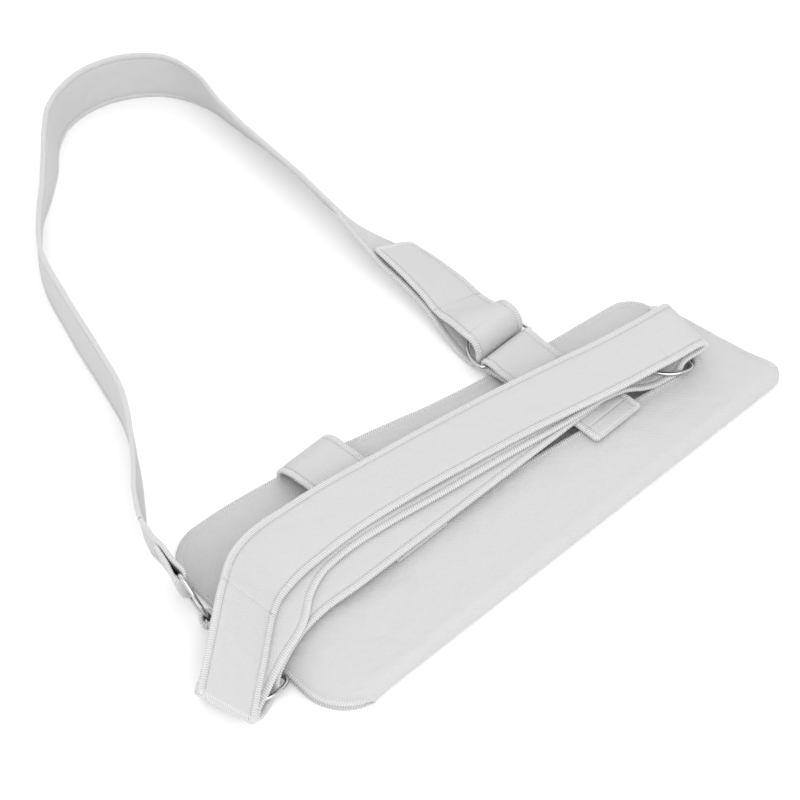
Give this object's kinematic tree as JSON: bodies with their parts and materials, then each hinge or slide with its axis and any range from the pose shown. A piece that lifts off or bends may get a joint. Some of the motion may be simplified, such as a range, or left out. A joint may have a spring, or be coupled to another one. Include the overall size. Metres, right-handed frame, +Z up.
{
  "type": "arm sling",
  "caption": "Folded fabric arm sling with a half-open pouch, hook-and-loop bands, a long shoulder strap and a waist strap threaded through metal D-rings.",
  "frame": {"origin": "middle of the bounding box, on the table that the sling lies on", "axes": "+X along the pouch from the elbow end to the hand end, +Y from the pouch fold towards the shoulder loop, +Z up"},
  "size_m": [0.5435, 0.6209, 0.0687],
  "materials": {
    "foam_laminate": "matte",
    "overlock_thread": "matte",
    "hook_tape": "matte",
    "ring_metal": "polished"
  },
  "bodies": {
    "pouch": {"back_panel": "foam_laminate", "front_panel": "foam_laminate", "pouch_fold": "foam_laminate", "elbow_gusset": "foam_laminate", "back_rim_overlock": "overlock_thread", "front_rim_overlock": "overlock_thread", "closure_band": "foam_laminate", "closure_hook_patch": "hook_tape", "ring_band": "foam_laminate", "ring_band_loop": "foam_laminate", "elbow_ring_tab": "foam_laminate", "waist_ring_hand_tab": "foam_laminate", "waist_ring_elbow_tab": "foam_laminate", "waist_strap_hand_fold": "foam_laminate", "waist_strap_elbow_fold": "foam_laminate", "waist_strap_middle": "foam_laminate", "waist_strap_under": "foam_laminate"},
    "shoulder_strap_body": {"adjuster_ring": "ring_metal", "shoulder_strap_ring_fold": "foam_laminate", "shoulder_strap": "foam_laminate", "shoulder_strap_arch": "foam_laminate", "shoulder_strap_neck": "foam_laminate"},
    "shoulder_tail_body": {"shoulder_strap_tail": "foam_laminate", "shoulder_hook_patch": "hook_tape"},
    "elbow_ring_body": {"shoulder_ring_elbow": "ring_metal", "shoulder_strap_end_loop": "foam_laminate"},
    "waist_hand_ring_body": {"waist_ring_hand": "ring_metal"},
    "waist_elbow_ring_body": {"waist_ring_elbow": "ring_metal"},
    "waist_top_body": {"waist_strap_top": "foam_laminate"},
    "waist_tail_body": {"waist_strap_tail": "foam_laminate", "waist_hook_patch": "hook_tape"},
    "ring_band_tip_body": {"ring_band_tip": "foam_laminate", "ring_band_hook_patch": "hook_tape"}
  },
  "joints": [
    {"name": "shoulder_strap_swing", "type": "hinge", "parent": "pouch", "child": "shoulder_strap_body", "pos_m": [0.1367, -0.1384, 0.013], "axis": [1, 0, 0], "range_deg": [0, 50], "deforming": ["shoulder_strap_neck"]},
    {"name": "shoulder_tail_peel", "type": "hinge", "parent": "shoulder_strap_body", "child": "shoulder_tail_body", "pos_m": [0.14322, -0.0819, 0.01705], "axis": [0.9703, 0, -0.2419], "range_deg": [0, 110]},
    {"name": "elbow_ring_swivel", "type": "hinge", "parent": "pouch", "child": "elbow_ring_body", "pos_m": [-0.20514, -0.17268, 0.0214], "axis": [-0.297, -0.2542, 0.9204], "range_deg": [-6, 15]},
    {"name": "waist_hand_ring_tilt", "type": "hinge", "parent": "pouch", "child": "waist_hand_ring_body", "pos_m": [0.2227, -0.2304, 0.024], "axis": [0.1908, 0.9816, 0], "range_deg": [0, 18]},
    {"name": "waist_elbow_ring_tilt", "type": "hinge", "parent": "pouch", "child": "waist_elbow_ring_body", "pos_m": [-0.2033, -0.2168, 0.0095], "axis": [-0.3256, 0.9455, 0], "range_deg": [-1, 6]},
    {"name": "waist_strap_lift", "type": "hinge", "parent": "pouch", "child": "waist_top_body", "pos_m": [0.20248, -0.22647, 0.04125], "axis": [0.1908, 0.9816, 0], "range_deg": [0, 35]},
    {"name": "waist_tail_peel", "type": "hinge", "parent": "waist_top_body", "child": "waist_tail_body", "pos_m": [-0.18479, -0.19558, 0.0515], "axis": [-0.4574, 0.5857, 0.6691], "range_deg": [0, 60]},
    {"name": "ring_band_tip_peel", "type": "hinge", "parent": "pouch", "child": "ring_band_tip_body", "pos_m": [0.1367, -0.23825, 0.0228], "axis": [-1, 0, 0], "range_deg": [0, 38]}
  ]
}
